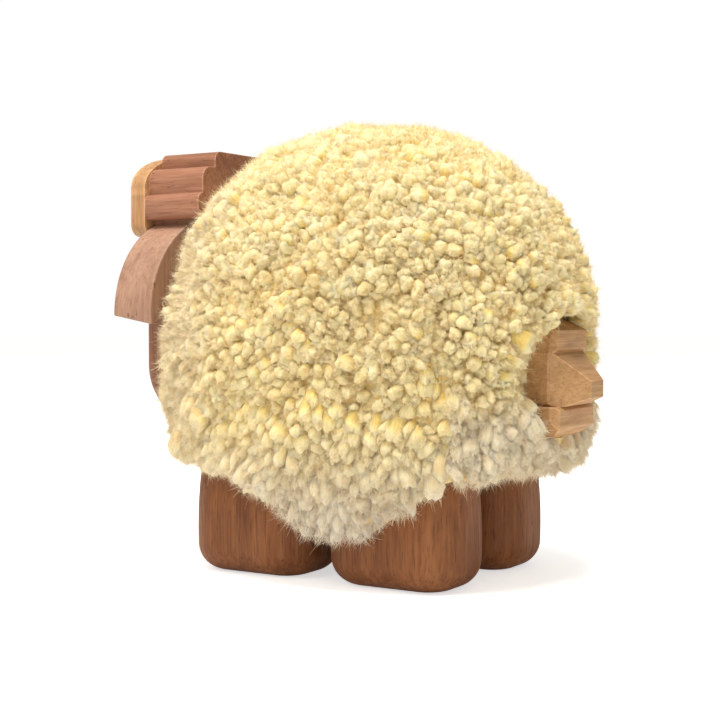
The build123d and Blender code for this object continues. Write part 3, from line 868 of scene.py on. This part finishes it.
def grow_locks():
    """Tips, directions, radii and lengths of all locks."""
    tips, normals, is_filler = lock_places()
    aims = comb(tips, normals)
    x, z = tips[:, 0], tips[:, 2]
    # Uneven height, a fuller chest and a crease at the rump's seam
    crease = np.exp(-(((x - rump_seam_x) / crease_width) ** 2)) * (z < crease_most_z)
    chest = fade(x, *chest_xs) * fade(z, *chest_high_zs) * fade(z, *chest_low_zs)
    on_crown = fade(z, *crown_zs)
    uneven = rng.normal(0.0, 1.0, len(tips)) * (uneven_height - crown_evenness * on_crown)
    lift = lift_even + lift_swell * swell(tips, lift_wavelength, 3) + uneven
    lift = lift - crease_depth * crease + chest_rise * chest - filler_drop * is_filler
    tips = tips + normals * lift[:, None]
    radii = lock_radius * np.exp(rng.normal(0.0, radius_spread, len(tips)))
    radii *= np.where(is_filler, filler_radius_share, 1.0) * (1 + crown_radius_extra * on_crown)
    lengths = rng.uniform(lock_length_least, lock_length_most, len(tips))
    lengths += low_lock_extra * fade(tips[:, 2], *long_zs)

    def share_down(share):
        return tips - aims * (lengths * share)[:, None]

    # Locks under the chin come straight forward, and those that would grow out of a leg hang straight down
    through_chin = is_blocked(share_down(0.5), 0.5) & (tips[:, 0] < chin_x) & (tips[:, 2] < chin_z)
    aims[through_chin] = unit(aims[through_chin] * (1.0, 1.0, 0.0))
    through_leg = is_blocked(share_down(0.5), 0.5) & (tips[:, 2] < leg_top_z)
    aims[through_leg] = unit(aims[through_leg] * (0.2, 0.2, 0.0) - (0.0, 0.0, 1.0))
    fine = ~is_blocked(tips, 0.8) & ~is_blocked(share_down(0.25), 0.0) & ~is_blocked(share_down(0.5), 0.0)
    return tips[fine], aims[fine], radii[fine], lengths[fine]


def lock_groups(tips):
    """Each group's panel, and which locks are in it."""
    x, z = tips[:, 0], tips[:, 2]
    groups = {"chest_locks": ("chest", x < chest_seam_x), "rump_locks": ("rump", x > rump_seam_x)}
    saddle = (x >= chest_seam_x) & (x <= rump_seam_x)
    for side, way in (("left", -1), ("right", 1)):
        on_side = saddle & (tips[:, 1] * way > 0)
        groups[f"saddle_locks_{side}_high"] = ("saddle", on_side & (z > saddle_split_z))
        groups[f"saddle_locks_{side}_low"] = ("saddle", on_side & (z <= saddle_split_z))
    return groups


def make_wool():
    """Under-wool, locks and fibres of the three panels."""
    material = wool_material("wool_cream", glow=0.5, relief=0.9)
    fine_material = wool_material("wool_fibres", glow=0.0, relief=0.3)
    deep = under_wool_material()
    for panel in ("chest", "saddle", "rump"):
        under_fleece(panel, deep)
    tips, aims, radii, lengths = grow_locks()
    x, z = tips[:, 0], tips[:, 2]
    tones = np.clip(rng.normal(0.5, 0.22, len(tips)) + 0.12 * swell(tips, 40.0, 8), 0, 1)
    # The hem, the rump's lower part and the chest are tinted paler and greyer; on the rump's lower part this
    # tint is painted shade
    hems = 0.95 * fade(z, *pale_hem_zs)
    hems = np.maximum(hems, 0.7 * (x > rump_seam_x + 1) * fade(z, *rump_painted_shade_zs))
    hems = np.maximum(hems, 0.4 * fade(x, *pale_chest_xs))
    for name, (panel, chosen) in lock_groups(tips).items():
        node = f"{panel}_fleece"
        locks = Locks(tips[chosen], aims[chosen], radii[chosen], lengths[chosen], tones[chosen], hems[chosen])
        points, quads, triangles = lock_mesh(locks.tips, locks.aims, locks.radii, locks.lengths)
        owner = np.repeat(np.arange(len(locks.tips)), len(points) // len(locks.tips))
        colours, places = locks.describe(points, owner)
        open_quads = np.where((colours[:, 0] > open_share)[quads].all(axis=1))[0]
        wool_piece(name, points, quads, triangles, colours, places, material, node)
        for kind in fibre_kinds:
            add_fibres(name, kind, locks, points, quads, open_quads, fine_material, node)


# Hide, wood and small parts


def make_hide():
    """The panels of skin, a little uneven."""
    material = hide_material()
    for panel in ("chest", "saddle", "rump"):
        node = f"{panel}_hide"
        points = node_points(node)
        way = unit(points - (centre_x, 0.0, hide_middle_z))
        points += way * (hide_unevenness * swell(points, 9.0, 21))[:, None]
        moved_node(f"{panel}_skin", node, points, material)


def dress(names, material):
    """Gives CAD nodes a better material."""
    for name in names:
        for slot in nodes[name].material_slots:
            slot.material = material


# Colours of the woods: light, mid, dark and fleck
wood_colours = {
    "brown": ((0.335, 0.134, 0.045), (0.25, 0.089, 0.028), (0.17, 0.056, 0.018), (0.07, 0.021, 0.008)),
    "pink": ((0.48, 0.300, 0.215), (0.40, 0.230, 0.155), (0.29, 0.155, 0.100), (0.15, 0.065, 0.040)),
    "face": ((0.37, 0.180, 0.107), (0.295, 0.134, 0.076), (0.215, 0.092, 0.052), (0.11, 0.044, 0.026)),
    "hair": ((0.44, 0.225, 0.145), (0.34, 0.155, 0.090), (0.23, 0.095, 0.050), (0.12, 0.045, 0.025)),
    "pale": ((0.66, 0.42, 0.22), (0.53, 0.30, 0.14), (0.38, 0.18, 0.07), (0.25, 0.11, 0.05)),
    "tan": ((0.66, 0.40, 0.195), (0.54, 0.31, 0.14), (0.40, 0.21, 0.085), (0.22, 0.10, 0.045)),
    "raw": ((0.62, 0.44, 0.28), (0.52, 0.34, 0.20), (0.40, 0.25, 0.14), (0.26, 0.15, 0.08)),
    "peg": ((0.70, 0.54, 0.36), (0.62, 0.46, 0.29), (0.50, 0.35, 0.20), (0.34, 0.22, 0.12)),
}

# The forelock's bands of painted shade and painted highlight across its lobes: height and tint
pale_ledges = (
    (150, 1.0), (168, 0.94), (171.4, 0.84), (172.8, 1.1), (174, 1.08), (176, 0.9), (182, 0.98), (190, 1.04)
)


def named_wood(name, **settings):
    """The wood with this name and its colours."""
    return wood(f"wood_{name}", wood_colours[name], **settings)


def make_wood():
    """Wood for the carved blocks and dowels, and the eyes and tacks."""
    brown = named_wood("brown", roughness=0.55, wear=0.2)
    pink = named_wood("pink", roughness=0.45, coat=0.1, fleck_share=0.3, wear=0.7)
    face = named_wood("face", roughness=0.52, fleck_share=0.35, wear=0.4)
    hair = named_wood("hair", grain="x", roughness=0.5, coat=0.04, fleck_share=0.35, wear=0.9)
    pale = named_wood("pale", roughness=0.45, coat=0.1, fleck_share=0.3, wear=0.8, ledges=pale_ledges)
    tan = named_wood("tan", grain="y", roughness=0.5, coat=0.04, fleck_share=0.35, wear=0.8)
    raw = named_wood("raw", grain="x", roughness=0.6)
    peg = named_wood("peg", roughness=0.55)
    dress([name for name in nodes if name.endswith("_leg")], brown)
    dress(["head"], face)
    dress(["left_ear", "right_ear"], pink)
    dress(["hair_cap"], hair)
    dress(["forelock"], pale)
    dress(["tail"], tan)
    dress(["body_core"], raw)
    dress([name for name in nodes if name.endswith(("_dowel", "_dowels"))], peg)
    dress(["left_eye", "right_eye"], eye_material())
    dress(["hem_tacks"], metal_material())


make_camera()
make_floor()
make_world()
make_light("key", azimuth=-20.0, elevation=38.0, distance=1.1, size=0.5, power=2.6, colour=(1.0, 0.97, 0.93))
make_light("over", azimuth=15.0, elevation=72.0, distance=1.2, size=0.6, power=17.5, colour=(1.0, 0.98, 0.94))
scene.view_settings.view_transform = "Standard"

make_wood()
make_hide()
make_wool()
